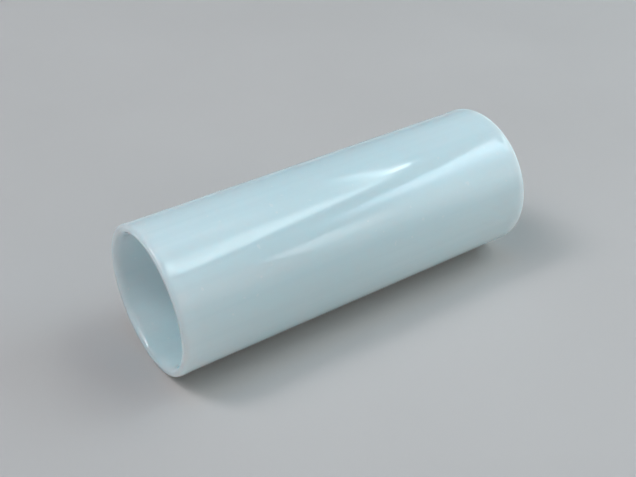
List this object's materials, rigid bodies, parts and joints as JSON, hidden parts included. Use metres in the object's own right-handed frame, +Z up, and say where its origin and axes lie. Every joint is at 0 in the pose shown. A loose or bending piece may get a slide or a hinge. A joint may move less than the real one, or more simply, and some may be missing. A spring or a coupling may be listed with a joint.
{
  "type": "guitar slide",
  "caption": "Open-ended opal glass tube worn on a finger and slid along guitar strings, with straight even walls and rounded rims.",
  "frame": {"origin": "where the middle of the tube touches the surface that it lies on", "axes": "+X along the bore, +Z up"},
  "size_m": [0.069, 0.0256, 0.0256],
  "materials": {
    "opal_glass": "gloss, fire-polished, milky and translucent"
  },
  "bodies": {
    "root": {"glass_tube": "opal_glass"}
  },
  "joints": []
}
